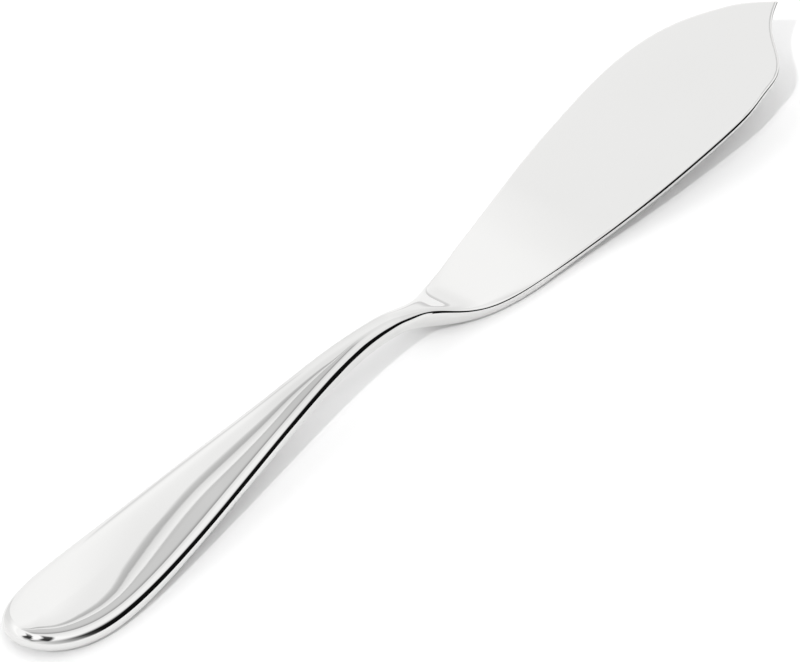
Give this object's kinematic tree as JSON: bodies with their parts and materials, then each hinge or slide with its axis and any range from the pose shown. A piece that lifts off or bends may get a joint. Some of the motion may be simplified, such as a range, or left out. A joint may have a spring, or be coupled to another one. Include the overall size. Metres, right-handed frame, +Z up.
{
  "type": "fish serving knife",
  "caption": "Fish serving knife: a wide flat blade with a scooped end and a point, raised from its heel, on a slim arched neck and a broad round-ended handle of polished steel.",
  "frame": {"origin": "on the table under the middle of the knife's bounding box, where the handle's end and the blade's heel rest at z = 0", "axes": "+X along the knife from the handle's end to the blade's tip, +Y across the blade towards its curved back, +Z up from the table"},
  "size_m": [0.275, 0.0388, 0.0153],
  "materials": {
    "handle_steel": "mirror polished stainless steel",
    "blade_steel": "mirror polished stainless steel"
  },
  "bodies": {
    "root": {"handle": "handle_steel", "blade": "blade_steel"}
  },
  "joints": []
}
